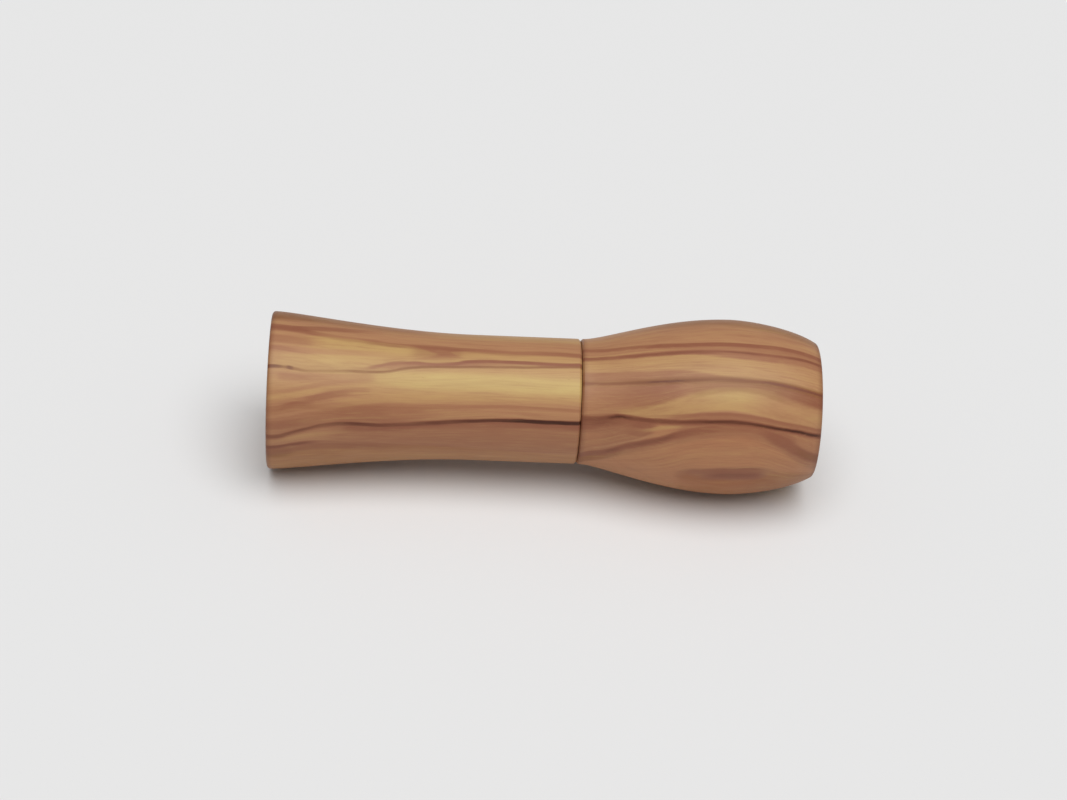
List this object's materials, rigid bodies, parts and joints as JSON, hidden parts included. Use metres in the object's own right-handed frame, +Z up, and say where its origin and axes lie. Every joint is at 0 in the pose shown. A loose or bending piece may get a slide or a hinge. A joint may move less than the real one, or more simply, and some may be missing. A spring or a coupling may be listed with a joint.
{
  "type": "bird call",
  "caption": "Turned wooden bird call: a flared bell insert plugged into a bulb-shaped mouthpiece barrel, with a reed voice on a tone board inside.",
  "frame": {"origin": "middle of the call's length, on the plane that the bulb touches when the call lies on its side", "axes": "+X along the call's axis from the bell to the mouthpiece, +Z up out of the surface that it lies on, +Y to the back; the reeds lie level, above the tone board"},
  "size_m": [0.12, 0.0386, 0.0386],
  "materials": {
    "olive_wood": "oiled, satin",
    "board_plastic": "machined, satin",
    "reed_film": "polished film",
    "cork": "cut cork",
    "ring_rubber": "greased rubber"
  },
  "bodies": {
    "insert": {"bell_insert": "olive_wood"},
    "grip_rings": {"rear_o_ring": "ring_rubber", "front_o_ring": "ring_rubber"},
    "barrel": {"barrel": "olive_wood"},
    "voice": {"tone_board": "board_plastic", "board_o_ring": "ring_rubber", "cork_wedge": "cork", "long_reed_root": "reed_film", "short_reed_root": "reed_film"},
    "long_reed": {"long_reed_tongue": "reed_film"},
    "short_reed": {"short_reed_tongue": "reed_film"}
  },
  "joints": [
    {"name": "barrel_twist", "type": "hinge", "parent": "insert", "child": "grip_rings", "pos_m": [0.016, 0, 0.0193], "axis": [1, 0, 0], "continuous": true},
    {"name": "barrel_pull", "type": "slide", "parent": "grip_rings", "child": "barrel", "axis": [1, 0, 0], "range_m": [0, 0.05]},
    {"name": "board_pull", "type": "slide", "parent": "insert", "child": "voice", "axis": [1, 0, 0], "range_m": [0, 0.03]},
    {"name": "long_reed_flex", "type": "hinge", "parent": "voice", "child": "long_reed", "pos_m": [0.02675, 0, 0.02052], "axis": [0, 1, 0], "range_deg": [-1.5, 2.8], "stiffness_Nm_per_rad": 0.02},
    {"name": "short_reed_flex", "type": "hinge", "parent": "voice", "child": "short_reed", "pos_m": [0.02675, 0, 0.02097], "axis": [0, 1, 0], "range_deg": [-1.5, 2.8], "stiffness_Nm_per_rad": 0.009}
  ],
  "couplings": [
    {"joint": "short_reed_flex", "follows": "long_reed_flex", "ratio": 1}
  ]
}
